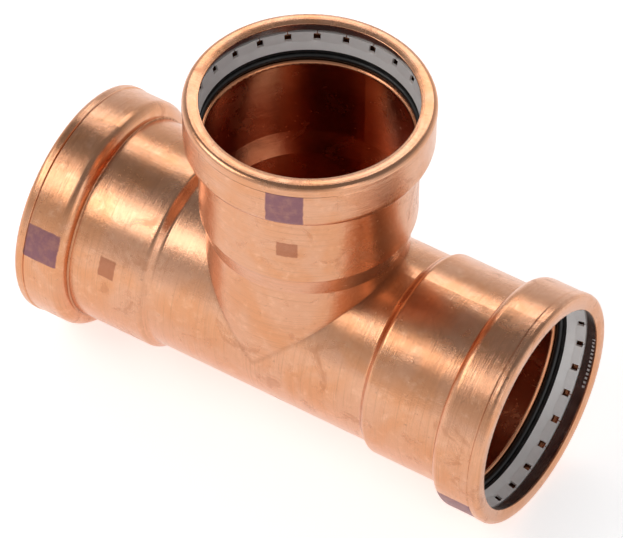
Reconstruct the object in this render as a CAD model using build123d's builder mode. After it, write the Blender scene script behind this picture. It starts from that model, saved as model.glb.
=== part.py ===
from build123d import *
import os
from math import cos, radians, sin

# Equal press tee for 2-1/2 in. copper tube, before it is pressed. All sizes are in millimetres.
# The run lies along X and the branch points up along Z. Each of the three mouths is a rolled
# bead that holds, from the mouth inwards: a retaining ring, a grip ring, a separator and a seal.

# Copper tube that the sockets take
tube_od = 66.675
slip_gap = 0.20  # radial gap between the tube and its socket

# Copper body
wall = 2.03
insertion_depth = 46.5  # from the mouth to the start of the taper that stops the tube
run_taper = 2.4  # each run socket narrows to the body over this length
branch_taper = 8.0  # the branch is drawn up, so its socket narrows more gently
run_neck = 7.9  # plain body between the side of the branch and the taper of the run
branch_neck = 4.4  # plain body between the top of the run and the taper of the branch

# Bead at each mouth
bead_rise = 4.9  # bead surface above the socket
rim_rise = 0.25  # rolled rim above the rest of the bead
rim_width = 3.6
rim_groove_depth = 0.2  # turned line between the rim and the bead
rim_groove_width = 0.6
lip_gap = 1.96  # radial gap between the tube and the rolled lip
lip_thickness = 1.2
rim_crown = 0.5  # the front of the rim stands out by this much between its edges
shoulder_wall = 3.0  # copper behind the pocket, measured along the socket
rim_round = 2.0
back_round = 4.0
foot_round = 0.5
bore_edge_round = 1.2
shoulder_round = 2.0  # outside, where the socket turns into the taper
neck_round = 1.5  # outside, where the taper meets the body
taper_round = 1.5  # both ends of the taper inside

# Rings held in the bead
ring_gap = 0.25  # running gap at each side of the two loose rings
retainer_width = 4.35
retainer_thickness = 0.8
grip_width = 6.2
grip_tab_width = 3.4  # the part of the grip ring that is slit into tabs
grip_thickness = 0.8
grip_tab_slope = 1.0  # radius that a tab loses between its edge and the bend
grip_band_slope = 1.0  # radius that the band loses between the bend and its inner edge
grip_tabs = 24
grip_split = 7.2  # degrees left open where the ring is cut through
grip_hole = 2.3
grip_hole_setback = 0.5  # between the holes and the bend
grip_slit = 0.35
separator_width = 0.9
separator_tube_gap = 2.1  # radial gap between the tube and the separator
seal_width = 2.2
seal_tube_gap = 1.15  # radial gap between the tube and the unpressed seal
seal_nose_round = 0.9

# Radii
tube_r = tube_od / 2
bore_r = tube_r + slip_gap
socket_r = bore_r + wall
body_r = tube_r
waterway_r = body_r - wall
bead_r = socket_r + bead_rise
rim_r = bead_r + rim_rise
pocket_r = bead_r - wall
lip_r = tube_r + lip_gap

# Depths from the mouth, in the order that a tube meets them
retainer_depth = lip_thickness
grip_depth = retainer_depth + retainer_width + ring_gap
separator_depth = grip_depth + grip_width + ring_gap
seal_depth = separator_depth + separator_width + ring_gap
pocket_depth = seal_depth + seal_width
bead_depth = pocket_depth + shoulder_wall

# The edge of the lip is rounded on both sides
lip_round = 0.4 * (lip_thickness - rim_crown)

# Distances from the crossing of the axes to the mouths
run_half = body_r + run_neck + run_taper + insertion_depth
branch_length = body_r + branch_neck + branch_taper + insertion_depth

# The tee stands on the rims of its run, and each mouth plane looks outwards
axis_height = rim_r
mouths = {
    "right": Plane(origin=(run_half, 0, axis_height), x_dir=(0, 0, 1), z_dir=(1, 0, 0)),
    "left": Plane(origin=(-run_half, 0, axis_height), x_dir=(0, 0, 1), z_dir=(-1, 0, 0)),
    "branch": Plane(origin=(0, 0, axis_height + branch_length), x_dir=(0, 1, 0), z_dir=(0, 0, 1)),
}
reach = {"right": run_half, "left": run_half, "branch": branch_length}
taper = {"right": run_taper, "left": run_taper, "branch": branch_taper}

# Where each grip ring is cut through, turned about its mouth from the mouth's x direction
split_angle = {"right": 38.0, "left": 150.0, "branch": 223.7}


def section(mouth):
    """Half plane through a socket's axis: x is the radius, and y is minus the depth."""
    return Plane(origin=mouth.origin, x_dir=mouth.x_dir, z_dir=-mouth.y_dir)


def axis_of(mouth):
    return Axis(mouth.origin, mouth.z_dir)


def facing_out(mouth, angle, radius, depth):
    """Plane that looks out along one radius of a socket: its y runs towards the mouth."""
    radial = mouth.x_dir * cos(radians(angle)) + mouth.y_dir * sin(radians(angle))
    origin = mouth.origin + radial * radius - mouth.z_dir * depth
    return Plane(origin=origin, x_dir=mouth.z_dir.cross(radial), z_dir=radial)


def corners_near(outline, *points):
    """The outline's corners that are nearest to the given points."""
    return [outline.vertices().sort_by_distance(Vector(*p))[0] for p in points]


def arm_outside(mouth, length, taper_length):
    """Outside of one arm of the body, solid to its axis."""
    foot = (socket_r, -bead_depth)
    taper_top = (socket_r, -insertion_depth)
    taper_end = (body_r, -insertion_depth - taper_length)
    groove = (bead_r - rim_groove_depth, -rim_width - rim_groove_width / 2)
    lip_edge = (lip_r, -rim_crown)
    crown = ((lip_r + rim_r) / 2, 0)
    rim_edge = (rim_r, -rim_crown)
    with BuildSketch() as outline:
        with BuildLine():
            ThreePointArc(lip_edge, crown, rim_edge)
            Polyline(
                rim_edge,
                (rim_r, -rim_width),
                groove,
                (bead_r, -rim_width - rim_groove_width),
                (bead_r, -bead_depth),
                foot,
                taper_top,
                taper_end,
                (body_r, -length),
                (0, -length),
                (0, -rim_crown),
                lip_edge,
            )
        make_face()
        fillet(corners_near(outline, rim_edge), rim_round)
        fillet(corners_near(outline, (bead_r, -bead_depth)), min(back_round, 0.95 * (bead_rise - foot_round)))
        fillet(corners_near(outline, foot), foot_round)
        fillet(corners_near(outline, taper_top), shoulder_round)
        fillet(corners_near(outline, taper_end), neck_round)
    with BuildPart() as arm:
        with BuildSketch(section(mouth)):
            add(outline.sketch)
        revolve(axis=axis_of(mouth))
    return arm.part


def arm_inside(mouth, length, taper_length):
    """Space inside one arm: lip, pocket for the rings, socket, taper and waterway."""
    bore_edge = (bore_r, -pocket_depth)
    lip_back = (lip_r, -lip_thickness)
    taper_top = (bore_r, -insertion_depth)
    taper_end = (waterway_r, -insertion_depth - taper_length)
    with BuildSketch() as outline:
        with BuildLine():
            Polyline(
                (0, 0),
                (lip_r, 0),
                lip_back,
                (pocket_r, -lip_thickness),
                (pocket_r, -pocket_depth),
                bore_edge,
                taper_top,
                taper_end,
                (waterway_r, -length),
                (0, -length),
                close=True,
            )
        make_face()
        fillet(corners_near(outline, lip_back), lip_round)
        fillet(corners_near(outline, bore_edge), bore_edge_round)
        fillet(corners_near(outline, taper_top, taper_end), taper_round)
    with BuildPart() as space:
        with BuildSketch(section(mouth)):
            add(outline.sketch)
        revolve(axis=axis_of(mouth))
    return space.part


def make_tee_body():
    """One copper forming: three equal arms that meet in a sharp crease."""
    with BuildPart() as body:
        for name, mouth in mouths.items():
            add(arm_outside(mouth, reach[name], taper[name]))
        for name, mouth in mouths.items():
            add(arm_inside(mouth, reach[name], taper[name]), mode=Mode.SUBTRACT)
        lip_edges = [
            body.edges().filter_by(GeomType.CIRCLE).sort_by_distance(mouth.origin)[0]
            for mouth in mouths.values()
        ]
        fillet(lip_edges, lip_round)
    return body


def make_retaining_ring(mouth):
    """Plain polished band, pressed into the bead against the back of the lip."""
    with BuildPart() as ring:
        with BuildSketch(section(mouth)):
            with Locations((pocket_r - retainer_thickness, -retainer_depth)):
                Rectangle(retainer_thickness, retainer_width, align=(Align.MIN, Align.MAX))
        revolve(axis=axis_of(mouth))
    return ring


def make_grip_ring(mouth, split_at):
    """Sprung steel ring: flat tabs towards the mouth, and a plain conical band behind them."""
    edge_r = pocket_r - ring_gap - grip_thickness
    bend_r = edge_r - grip_tab_slope
    band_r = bend_r - grip_band_slope
    bend_depth = grip_depth + grip_tab_width
    end_depth = grip_depth + grip_width
    tab_angle = (360 - grip_split) / grip_tabs
    corner_angles = [split_at + grip_split / 2 + tab_angle * i for i in range(grip_tabs + 1)]
    flat_rise = bend_r * (1 - cos(radians(tab_angle / 2))) / 2
    split_width = 2 * edge_r * sin(radians(grip_split / 2))
    hole_depth = bend_depth - grip_hole_setback - grip_hole / 2
    cut_r = band_r - grip_thickness
    cut_length = pocket_r - cut_r

    with BuildPart() as ring:
        # Tabs: a many-sided cone with one flat for each tab
        for thickness, mode in ((grip_thickness, Mode.ADD), (0, Mode.SUBTRACT)):
            for depth, radius in ((grip_depth, edge_r), (bend_depth, bend_r + flat_rise)):
                corner_r = radius + thickness
                with BuildSketch(mouth.offset(-depth)):
                    Polygon(
                        *[(corner_r * cos(radians(a)), corner_r * sin(radians(a))) for a in corner_angles],
                        align=None,
                    )
            loft(ruled=True, mode=mode)
        # Band: a plain cone
        with BuildSketch(section(mouth)):
            with BuildLine():
                Polyline(
                    (bend_r, -bend_depth),
                    (band_r, -end_depth),
                    (band_r + grip_thickness, -end_depth),
                    (bend_r + grip_thickness, -bend_depth),
                    close=True,
                )
            make_face()
        revolve(axis=axis_of(mouth))
        # A square hole at each end of each tab, and a slit from it to the mouth side
        for angle in corner_angles:
            with BuildSketch(facing_out(mouth, angle, cut_r, hole_depth)):
                Rectangle(grip_hole, grip_hole)
                with Locations((0, grip_tab_width / 2)):
                    Rectangle(grip_slit, grip_tab_width)
            extrude(amount=cut_length, mode=Mode.SUBTRACT)
        # The cut that lets the ring spring
        with BuildSketch(facing_out(mouth, split_at, cut_r, grip_depth + grip_width / 2)):
            Rectangle(split_width, 2 * grip_width)
        extrude(amount=cut_length, mode=Mode.SUBTRACT)
    return ring


def make_separator_ring(mouth):
    """Plastic washer that keeps the grip ring off the seal."""
    outer_r = pocket_r - ring_gap
    inner_r = tube_r + separator_tube_gap
    with BuildPart() as ring:
        with BuildSketch(section(mouth)):
            with Locations((inner_r, -separator_depth)):
                Rectangle(outer_r - inner_r, separator_width, align=(Align.MIN, Align.MAX))
        revolve(axis=axis_of(mouth))
    return ring


def make_seal_ring(mouth):
    """Rubber sealing ring at the back of the pocket, rounded where it meets the tube."""
    inner_r = tube_r + seal_tube_gap
    with BuildPart() as ring:
        with BuildSketch(section(mouth)) as outline:
            with Locations((inner_r, -seal_depth)):
                Rectangle(pocket_r - inner_r, seal_width, align=(Align.MIN, Align.MAX))
            fillet(outline.vertices().group_by(Axis.X)[0], min(seal_nose_round, 0.45 * seal_width))
        revolve(axis=axis_of(mouth))
    return ring


def write(part, name):
    part.label = name
    export_step(part, f"parts/{name}.step")


os.makedirs("parts", exist_ok=True)
write(make_tee_body().part, "tee_body")
for side, mouth_plane in mouths.items():
    write(make_retaining_ring(mouth_plane).part, f"{side}_retaining_ring")
    write(make_grip_ring(mouth_plane, split_angle[side]).part, f"{side}_grip_ring")
    write(make_separator_ring(mouth_plane).part, f"{side}_separator_ring")
    write(make_seal_ring(mouth_plane).part, f"{side}_seal_ring")
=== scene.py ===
from math import cos, pi, radians, sin

import bpy
from mathutils import Matrix, Vector


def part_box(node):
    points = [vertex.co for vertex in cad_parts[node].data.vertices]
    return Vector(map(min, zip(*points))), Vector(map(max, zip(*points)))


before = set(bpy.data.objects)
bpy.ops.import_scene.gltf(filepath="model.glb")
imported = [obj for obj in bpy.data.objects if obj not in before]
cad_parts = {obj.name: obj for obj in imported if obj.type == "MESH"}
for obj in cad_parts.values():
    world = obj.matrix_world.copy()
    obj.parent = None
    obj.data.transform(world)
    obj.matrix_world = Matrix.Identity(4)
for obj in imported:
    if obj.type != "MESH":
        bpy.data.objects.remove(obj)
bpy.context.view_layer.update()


# ---- Where the fitting stands ----
# The tee stands on the rims of its run, with the branch straight up. The run lies along X, and
# everything is placed from the crossing of the two axes.

body_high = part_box("tee_body")[1]
rim_radius = body_high.y
run_reach = body_high.x
branch_reach = body_high.z - rim_radius
crossing = Vector((0, 0, rim_radius))
tube_radius = 0.0333375


# ---- Camera ----
# A long lens, above and to the right of the front, so that the branch and the right mouth both
# look at it. It aims a little above and to the right of the crossing.

camera_turn = radians(32.35)
camera_height = radians(45.79)
camera_roll = radians(0.59)
camera_distance = 1.6471
camera_shift = (0.00121, 0.01047)
camera_lens = 288.9

towards_camera = Vector((
    sin(camera_turn) * cos(camera_height),
    -cos(camera_turn) * cos(camera_height),
    sin(camera_height),
))
level_right = (-towards_camera).cross(Vector((0, 0, 1))).normalized()
level_up = level_right.cross(-towards_camera)
camera_right = cos(camera_roll) * level_right + sin(camera_roll) * level_up
camera_up = -sin(camera_roll) * level_right + cos(camera_roll) * level_up

camera_data = bpy.data.cameras.new("camera")
camera_data.sensor_width = 36
camera_data.lens = camera_lens
camera_data.clip_start = 0.05
camera_data.clip_end = 20
camera = bpy.data.objects.new("camera", camera_data)
bpy.context.scene.collection.objects.link(camera)
place = crossing + towards_camera * camera_distance
place += camera_right * camera_shift[0] + camera_up * camera_shift[1]
turn = Matrix((camera_right, camera_up, towards_camera)).transposed().to_4x4()
camera.matrix_world = Matrix.Translation(place) @ turn
bpy.context.scene.camera = camera
bpy.context.scene.view_settings.view_transform = "Standard"


# ---- Studio ----
# A white floor in a room that is darker overhead. Broad soft lights hang in front at the left,
# behind, and at the right, with dim gaps between them for the metal to show.

def soft_light(name, spot, width, height, power, tint):
    data = bpy.data.lights.new(name, "AREA")
    data.shape = "RECTANGLE"
    data.size = width
    data.size_y = height
    data.energy = power
    data.color = tint
    lamp = bpy.data.objects.new(name, data)
    bpy.context.scene.collection.objects.link(lamp)
    lamp.location = spot
    lamp.rotation_euler = (crossing - Vector(spot)).to_track_quat("-Z", "Y").to_euler()


soft_light("key_light", (-0.75, -0.55, 0.95), 0.9, 0.5, 4.5, (1.0, 0.97, 0.93))
soft_light("back_light", (-0.35, 0.75, 0.85), 0.9, 0.35, 2.2, (1.0, 0.98, 0.96))
soft_light("right_light", (1.0, -0.45, 0.6), 0.35, 0.8, 1.0, (1.0, 0.99, 0.98))

low_shade = (0.1, (0.88, 0.88, 0.89, 1))  # height of the direction, and the shade there
high_shade = (0.75, (0.24, 0.24, 0.245, 1))

world = bpy.data.worlds.new("studio_room")
world.use_nodes = True
world_tree = world.node_tree
direction = world_tree.nodes.new("ShaderNodeTexCoord")
split_direction = world_tree.nodes.new("ShaderNodeSeparateXYZ")
room_shade = world_tree.nodes.new("ShaderNodeValToRGB")
world_tree.links.new(direction.outputs["Generated"], split_direction.inputs[0])
world_tree.links.new(split_direction.outputs["Z"], room_shade.inputs["Fac"])
world_tree.links.new(room_shade.outputs["Color"], world_tree.nodes["Background"].inputs["Color"])
for stop, (height, shade) in zip(room_shade.color_ramp.elements, (low_shade, high_shade)):
    stop.position = height
    stop.color = shade
bpy.context.scene.world = world

floor_size = 8
floor_glow = 0.55

bpy.ops.mesh.primitive_plane_add(size=floor_size)
floor = bpy.context.object
floor.name = "floor"
floor_paint = bpy.data.materials.new("floor_paint")
floor_paint.use_nodes = True
floor_shader = floor_paint.node_tree.nodes["Principled BSDF"]
floor_shader.inputs["Base Color"].default_value = (0.93, 0.93, 0.93, 1)
floor_shader.inputs["Emission Color"].default_value = (1, 1, 1, 1)
floor_shader.inputs["Emission Strength"].default_value = floor_glow
floor_shader.inputs["Roughness"].default_value = 0.8
floor.data.materials.append(floor_paint)


# ---- Copper body ----
# One length of copper tube, bulged into a tee by water pressure, with its three ends widened
# into sockets and rolled over into beads. Bright and satin outside, dull and darker inside, with
# painted shade deeper in the bore and in the creases.

def put(tree, kind, inputs=(), **settings):
    """Adds a node to a tree. An input is a value to hold or another node's output."""
    new = tree.nodes.new("ShaderNode" + kind)
    for key, value in settings.items():
        setattr(new, key, value)
    for key, value in dict(inputs).items():
        if isinstance(value, bpy.types.NodeSocket):
            tree.links.new(value, new.inputs[key])
        else:
            new.inputs[key].default_value = value
    return new


def calc(tree, operation, *values):
    return put(tree, "Math", dict(enumerate(values)), operation=operation).outputs[0]


def rise(tree, value, low, high):
    """0 below low, 1 above high, and smooth between them. It falls if low is above high."""
    inputs = {"Value": value, "From Min": low, "From Max": high}
    return put(tree, "MapRange", inputs, interpolation_type="SMOOTHSTEP").outputs[0]


def between(tree, value, low, high, edge):
    """1 between low and high, and 0 outside them."""
    into = rise(tree, value, low - edge, low + edge)
    out = rise(tree, value, high + edge, high - edge)
    return calc(tree, "MULTIPLY", into, out)


def mix(tree, share, first, second, way="MIX"):
    inputs = {0: share, 6: first, 7: second}
    new = put(tree, "Mix", inputs, data_type="RGBA", blend_type=way)
    return new.outputs[2]


def noise(tree, vector, scale, detail=3.0, roughness=0.55, distortion=0.0):
    inputs = {"Vector": vector, "Scale": scale, "Detail": detail, "Roughness": roughness}
    inputs["Distortion"] = distortion
    return put(tree, "TexNoise", inputs).outputs["Fac"]


def new_group(name, inputs, outputs):
    """An empty shader node group with named sockets, and the ends to work between."""
    tree = bpy.data.node_groups.new(name, "ShaderNodeTree")
    for label, kind, value in inputs:
        socket = tree.interface.new_socket(label, in_out="INPUT", socket_type="NodeSocket" + kind)
        if value is not None:
            socket.default_value = value
    for label, kind in outputs:
        tree.interface.new_socket(label, in_out="OUTPUT", socket_type="NodeSocket" + kind)
    start = tree.nodes.new("NodeGroupInput").outputs
    end = tree.nodes.new("NodeGroupOutput").inputs
    return tree, start, end


def make_socket_place():
    """Where a point lies on its own arm of the tee: depth from the mouth and radius, both in
    millimetres, turn about the arm's axis in degrees, and the share of branch."""
    tree, start, end = new_group(
        "socket_place",
        [("Position", "Vector", None)],
        [("Depth", "Float"), ("Radius", "Float"), ("Turn", "Float"), ("Branch", "Float"),
         ("Right", "Float"), ("Unrolled", "Vector")],
    )
    parts = put(tree, "SeparateXYZ", {0: start["Position"]}).outputs
    x = calc(tree, "MULTIPLY", parts[0], 1000)
    y = calc(tree, "MULTIPLY", parts[1], 1000)
    z = calc(tree, "MULTIPLY_ADD", parts[2], 1000, -rim_radius * 1000)
    along_run = calc(tree, "ABSOLUTE", x)
    branch = calc(tree, "GREATER_THAN", z, along_run)
    right = calc(tree, "GREATER_THAN", x, 0)
    run_depth = calc(tree, "SUBTRACT", run_reach * 1000, along_run)
    branch_depth = calc(tree, "SUBTRACT", branch_reach * 1000, z)
    across = put(tree, "Mix", {0: branch, 2: z, 3: x}).outputs[0]
    depth = put(tree, "Mix", {0: branch, 2: run_depth, 3: branch_depth}).outputs[0]
    across_squared = calc(tree, "MULTIPLY", across, across)
    radius = calc(tree, "SQRT", calc(tree, "MULTIPLY_ADD", y, y, across_squared))
    turn_degrees = calc(tree, "DEGREES", calc(tree, "ARCTAN2", y, across))
    tree.links.new(depth, end["Depth"])
    tree.links.new(radius, end["Radius"])
    tree.links.new(turn_degrees, end["Turn"])
    tree.links.new(branch, end["Branch"])
    tree.links.new(right, end["Right"])
    around = calc(tree, "MULTIPLY", turn_degrees, pi / 180 * tube_radius * 1000)
    unrolled = put(tree, "CombineXYZ", {0: around, 1: depth, 2: radius}).outputs[0]
    tree.links.new(unrolled, end["Unrolled"])
    return tree


def make_metal_grain():
    """Fine stipple and faint streaks of a cold-formed metal, as a height in millimetres, and
    a mask of small dark specks."""
    tree, start, end = new_group(
        "metal_grain",
        [("Position", "Vector", None), ("Stipple", "Float", 0.014), ("Waves", "Float", 0.16)],
        [("Height", "Float"), ("Specks", "Float")],
    )
    stipple = noise(tree, start["Position"], 1500, 4, 0.65)
    waves = noise(tree, start["Position"], 80, 2, 0.45, 0.5)
    height = calc(tree, "MULTIPLY", stipple, start["Stipple"])
    height = calc(tree, "MULTIPLY_ADD", waves, start["Waves"], height)
    tree.links.new(height, end["Height"])
    specks = rise(tree, noise(tree, start["Position"], 620, 5, 0.7), 0.62, 0.72)
    tree.links.new(specks, end["Specks"])
    return tree


socket_place = make_socket_place()
metal_grain = make_metal_grain()

lip_depth = 1.1  # millimetres from the mouth, as all depths here are
pocket_depth = 15.6
bead_depth = 18.6
taper_start = 46.5
run_taper = 2.4
branch_taper = 8.0
pocket_middle = 39.4  # millimetres from the axis to the middle of the wall
socket_middle = 34.5
tube_middle = 32.3
ink_depth = (3.9, 16.4)
ink_turn = 8.6  # half the width of an ink mark, in degrees
small_ink_depth = (30.0, 36.0)
small_ink_turn = 5.6
ink_centres = {"branch": -68.7, "right": -117.0, "left": -70.5}  # degrees round each arm


def make_copper():
    material = bpy.data.materials.new("formed_copper")
    material.use_nodes = True
    tree = material.node_tree
    shader = tree.nodes["Principled BSDF"]
    position = put(tree, "TexCoord").outputs["Object"]
    place = put(tree, "Group", {"Position": position}, node_tree=socket_place).outputs
    grain = put(tree, "Group", {"Position": position}, node_tree=metal_grain).outputs
    depth, radius, turn_at = place["Depth"], place["Radius"], place["Turn"]

    # Inside: nearer the axis than the middle of the wall, which follows pocket, socket and tube
    taper = put(tree, "Mix", {0: place["Branch"], 2: run_taper, 3: branch_taper}).outputs[0]
    along_taper = calc(tree, "DIVIDE", calc(tree, "SUBTRACT", depth, taper_start), taper)
    narrowed = put(tree, "Clamp", {"Value": along_taper}).outputs[0]
    middle = calc(tree, "MULTIPLY_ADD", narrowed, tube_middle - socket_middle, socket_middle)
    in_pocket = calc(tree, "LESS_THAN", depth, pocket_depth + 0.6)
    middle = put(tree, "Mix", {0: in_pocket, 2: middle, 3: pocket_middle}).outputs[0]
    behind_lip = calc(tree, "GREATER_THAN", depth, lip_depth)
    inside = calc(tree, "MULTIPLY", calc(tree, "LESS_THAN", radius, middle), behind_lip)

    # Colour: pink where it is bright, orange where it is rubbed, brown where it is stained
    broad = rise(tree, noise(tree, position, 42, 3, 0.6, 0.6), 0.35, 0.65)
    colour = mix(tree, broad, (0.68, 0.315, 0.160, 1), (0.69, 0.365, 0.225, 1))
    stain = rise(tree, noise(tree, position, 85, 6, 0.66, 0.9), 0.54, 0.70)
    colour = mix(tree, calc(tree, "MULTIPLY", stain, 0.45), colour, (0.42, 0.165, 0.08, 1))
    bright = rise(tree, noise(tree, position, 260, 5, 0.7, 0.3), 0.50, 0.78)
    colour = mix(tree, calc(tree, "MULTIPLY", bright, 0.45), colour, (0.88, 0.54, 0.36, 1))
    colour = mix(tree, calc(tree, "MULTIPLY", grain["Specks"], 0.45), colour, (0.26, 0.095, 0.05, 1))

    # Rubbed and stained streaks that follow the forming, round each arm
    streaked = put(
        tree, "Mapping", {"Vector": place["Unrolled"], "Scale": (0.035, 1.9, 0.5)}
    ).outputs[0]
    streaks = rise(tree, noise(tree, streaked, 1.0, 5, 0.7), 0.48, 0.72)
    colour = mix(tree, calc(tree, "MULTIPLY", streaks, 0.38), colour, (0.47, 0.205, 0.10, 1))

    # Painted shade in the creases: darker at the foot of each bead, where the branch meets the run,
    # and at the neck of each arm
    foot_shade = between(tree, depth, bead_depth - 0.1, bead_depth + 0.5, 0.35)
    foot_shade = calc(tree, "MULTIPLY", foot_shade, rise(tree, radius, 36.6, 35.8))
    parts = put(tree, "SeparateXYZ", {0: position}).outputs
    high = calc(tree, "SUBTRACT", parts[2], rim_radius)
    sideways = calc(tree, "ABSOLUTE", parts[0])
    off_crease = calc(tree, "ABSOLUTE", calc(tree, "SUBTRACT", sideways, high))
    crease_shade = rise(tree, off_crease, 0.0020, 0.0001)
    neck_shade = between(tree, depth, taper_start + 0.3, taper_start + 0.9, 0.5)
    crease_shade = calc(tree, "MULTIPLY", crease_shade, 0.4)
    neck_shade = calc(tree, "MULTIPLY", neck_shade, 0.2)
    painted_crease_shade = calc(tree, "MAXIMUM", foot_shade, calc(tree, "MAXIMUM", crease_shade, neck_shade))
    # Lay a dark brown painted shade over the creases
    colour = mix(tree, calc(tree, "MULTIPLY", painted_crease_shade, 0.55), colour, (0.30, 0.12, 0.06, 1))

    # A plain ink mark on each bead, and a smaller one on the branch and the left socket
    run_centre = put(tree, "Mix", {0: place["Right"], 2: ink_centres["left"], 3: ink_centres["right"]})
    centre = {0: place["Branch"], 2: run_centre.outputs[0], 3: ink_centres["branch"]}
    centre = put(tree, "Mix", centre).outputs[0]
    off_centre = calc(tree, "ABSOLUTE", calc(tree, "SUBTRACT", turn_at, centre))
    wobble = calc(tree, "MULTIPLY_ADD", noise(tree, position, 500, 3), 0.9, -0.45)
    ink_at = calc(tree, "ADD", depth, wobble)
    turned = calc(tree, "ADD", off_centre, wobble)
    ink = calc(
        tree, "MULTIPLY",
        between(tree, ink_at, ink_depth[0], ink_depth[1], 0.25),
        rise(tree, turned, ink_turn + 0.4, ink_turn - 0.4),
    )
    ink_patchy = rise(tree, noise(tree, position, 260, 4, 0.7), 0.25, 0.6)
    ink_strength = calc(tree, "MULTIPLY_ADD", ink_patchy, 0.25, 0.68)
    small_ink = calc(
        tree, "MULTIPLY",
        between(tree, ink_at, small_ink_depth[0], small_ink_depth[1], 0.3),
        rise(tree, turned, small_ink_turn + 0.5, small_ink_turn - 0.5),
    )
    outside = calc(tree, "SUBTRACT", 1, inside)
    ink = calc(tree, "MULTIPLY", ink, outside)
    not_right = calc(tree, "SUBTRACT", 1, place["Right"])
    has_small_ink = calc(tree, "MAXIMUM", place["Branch"], not_right)
    small_ink = calc(tree, "MULTIPLY", small_ink, calc(tree, "MULTIPLY", outside, has_small_ink))
    colour = mix(tree, calc(tree, "MULTIPLY", ink, ink_strength), colour, (0.215, 0.088, 0.118, 1))
    colour = mix(tree, calc(tree, "MULTIPLY", small_ink, 0.75), colour, (0.34, 0.12, 0.065, 1))

    # The inside keeps its dull red-brown skin, with painted shade darkening it deeper into the bore
    near_mouth = mix(tree, broad, (0.62, 0.25, 0.12, 1), (0.68, 0.31, 0.17, 1))
    deep_in_shaded = mix(tree, broad, (0.38, 0.105, 0.045, 1), (0.46, 0.15, 0.07, 1))
    dull_skin_and_shade = mix(tree, rise(tree, depth, 17, 34), near_mouth, deep_in_shaded)
    colour = mix(tree, inside, colour, dull_skin_and_shade)
    tree.links.new(colour, shader.inputs["Base Color"])

    # Roughness: satin, smoother where it is rubbed, flat under the ink
    rough = calc(tree, "MULTIPLY_ADD", stain, 0.10, 0.17)
    rough = calc(tree, "MULTIPLY_ADD", noise(tree, position, 700, 3), 0.14, rough)
    rough = calc(tree, "MULTIPLY_ADD", ink, 0.15, rough)
    tree.links.new(rough, shader.inputs["Roughness"])
    tree.links.new(calc(tree, "MULTIPLY_ADD", ink, -0.45, 1), shader.inputs["Metallic"])

    # Relief: grain, draw lines along each arm, and turned rings on the bead
    stretched = put(
        tree, "Mapping", {"Vector": place["Unrolled"], "Scale": (1.6, 0.05, 0)}
    ).outputs[0]
    draw_lines = noise(tree, stretched, 1.0, 3, 0.6)
    rings_at = put(
        tree, "Mapping", {"Vector": place["Unrolled"], "Scale": (0.02, 2.6, 0.8)}
    ).outputs[0]
    rings = noise(tree, rings_at, 1.0, 3, 0.7)
    on_bead = rise(tree, depth, 17.5, 15.5)
    height = calc(tree, "MULTIPLY_ADD", draw_lines, 0.012, grain["Height"])
    ring_height = calc(tree, "MULTIPLY_ADD", on_bead, 0.040, 0.032)
    height = calc(tree, "MULTIPLY_ADD", rings, ring_height, height)
    bump = put(tree, "Bump", {"Height": height, "Distance": 0.001, "Strength": 1.0})
    tree.links.new(bump.outputs[0], shader.inputs["Normal"])
    return material


tee_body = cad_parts["tee_body"]
tee_body.data.materials.clear()
tee_body.data.materials.append(make_copper())


# ---- Retaining rings ----
# A plain band of stainless strip behind each lip, polished so that it mirrors the dark pocket.
# A row of small laser dots runs part of the way round it.

dot_row = (2.4, 3.3)
dots_per_degree = 0.42
dots_reach = 15  # degrees to each side of the middle of the row
run_dots_at = 107
branch_dots_at = 75


def make_polished_band():
    material = bpy.data.materials.new("polished_band")
    material.use_nodes = True
    tree = material.node_tree
    shader = tree.nodes["Principled BSDF"]
    position = put(tree, "TexCoord").outputs["Object"]
    place = put(tree, "Group", {"Position": position}, node_tree=socket_place).outputs
    cloudy = noise(tree, position, 180, 3)
    colour = mix(tree, cloudy, (0.26, 0.20, 0.18, 1), (0.44, 0.37, 0.34, 1))
    dots = calc(tree, "FRACT", calc(tree, "MULTIPLY", place["Turn"], dots_per_degree))
    row = between(tree, place["Depth"], dot_row[0], dot_row[1], 0.1)
    centre = put(tree, "Mix", {0: place["Branch"], 2: run_dots_at, 3: branch_dots_at}).outputs[0]
    from_centre = calc(tree, "ABSOLUTE", calc(tree, "SUBTRACT", place["Turn"], centre))
    dotted = calc(tree, "MULTIPLY", calc(tree, "GREATER_THAN", dots, 0.5), row)
    marks = calc(tree, "MULTIPLY", dotted, calc(tree, "LESS_THAN", from_centre, dots_reach))
    colour = mix(tree, marks, colour, (0.92, 0.90, 0.88, 1))
    tree.links.new(colour, shader.inputs["Base Color"])
    tree.links.new(calc(tree, "MULTIPLY_ADD", marks, -0.85, 0.85), shader.inputs["Metallic"])
    rough = calc(tree, "MULTIPLY_ADD", cloudy, 0.2, 0.12)
    tree.links.new(calc(tree, "MULTIPLY_ADD", marks, 0.4, rough), shader.inputs["Roughness"])
    scratched = put(tree, "Mapping", {"Vector": place["Unrolled"], "Scale": (0.05, 6, 1)}).outputs[0]
    height = calc(tree, "MULTIPLY", noise(tree, scratched, 1.0, 2), 0.004)
    bump = put(tree, "Bump", {"Height": height, "Distance": 0.001})
    tree.links.new(bump.outputs[0], shader.inputs["Normal"])
    return material


def dress(kind, finish):
    """Gives one kind of ring its finish at all three mouths."""
    for side in ("right", "left", "branch"):
        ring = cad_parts[f"{side}_{kind}"]
        ring.data.materials.clear()
        ring.data.materials.append(finish)


dress("retaining_ring", make_polished_band())


# ---- Grip rings ----
# Sprung stainless strip, pressed into a cone and slit into flat tabs. It has a pale satin
# finish, rolled along the strip.

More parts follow.
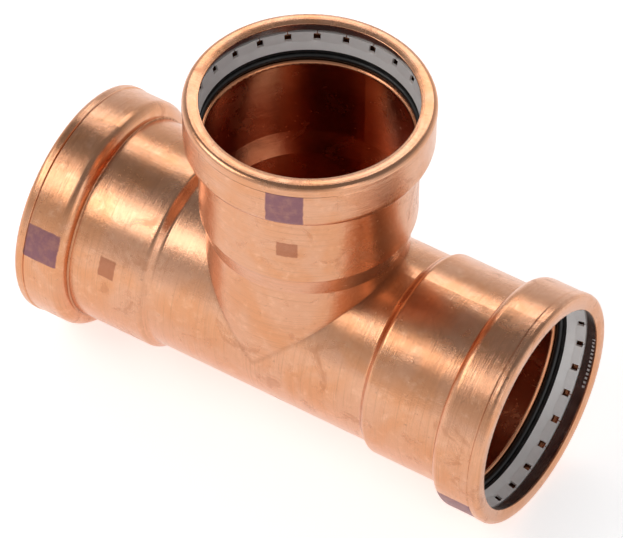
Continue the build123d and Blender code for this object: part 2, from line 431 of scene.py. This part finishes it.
def make_satin_steel():
    material = bpy.data.materials.new("satin_steel")
    material.use_nodes = True
    tree = material.node_tree
    shader = tree.nodes["Principled BSDF"]
    position = put(tree, "TexCoord").outputs["Object"]
    place = put(tree, "Group", {"Position": position}, node_tree=socket_place).outputs
    rolled = put(tree, "Mapping", {"Vector": place["Unrolled"], "Scale": (0.12, 5, 1)}).outputs[0]
    lines = noise(tree, rolled, 1.0, 4, 0.65)
    cloudy = noise(tree, position, 210, 3)
    colour = mix(tree, cloudy, (0.80, 0.79, 0.775, 1), (0.95, 0.945, 0.935, 1))
    tree.links.new(colour, shader.inputs["Base Color"])
    shader.inputs["Metallic"].default_value = 0.35
    tree.links.new(calc(tree, "MULTIPLY_ADD", lines, 0.22, 0.34), shader.inputs["Roughness"])
    height = calc(tree, "MULTIPLY_ADD", lines, 0.010, calc(tree, "MULTIPLY", cloudy, 0.02))
    bump = put(tree, "Bump", {"Height": height, "Distance": 0.001})
    tree.links.new(bump.outputs[0], shader.inputs["Normal"])
    return material


dress("grip_ring", make_satin_steel())


# ---- Separators and seals ----
# A moulded black washer, and behind it a black rubber ring with a film of silicone grease.

def make_black(name, colour, dusty, roughness, coat):
    material = bpy.data.materials.new(name)
    material.use_nodes = True
    tree = material.node_tree
    shader = tree.nodes["Principled BSDF"]
    position = put(tree, "TexCoord").outputs["Object"]
    cloudy = rise(tree, noise(tree, position, 350, 4, 0.65), 0.45, 0.75)
    tree.links.new(mix(tree, cloudy, colour, dusty), shader.inputs["Base Color"])
    tree.links.new(calc(tree, "MULTIPLY_ADD", cloudy, 0.2, roughness), shader.inputs["Roughness"])
    shader.inputs["Coat Weight"].default_value = coat
    shader.inputs["Coat Roughness"].default_value = 0.25
    height = calc(tree, "MULTIPLY", noise(tree, position, 1800, 3), 0.006)
    bump = put(tree, "Bump", {"Height": height, "Distance": 0.001})
    tree.links.new(bump.outputs[0], shader.inputs["Normal"])
    return material


plastic_colours = (0.012, 0.012, 0.012, 1), (0.03, 0.03, 0.03, 1)
rubber_colours = (0.006, 0.006, 0.006, 1), (0.02, 0.02, 0.018, 1)
grease_coat = 0.15

dress("separator_ring", make_black("black_plastic", *plastic_colours, 0.5, 0))
dress("seal_ring", make_black("seal_rubber", *rubber_colours, 0.42, grease_coat))
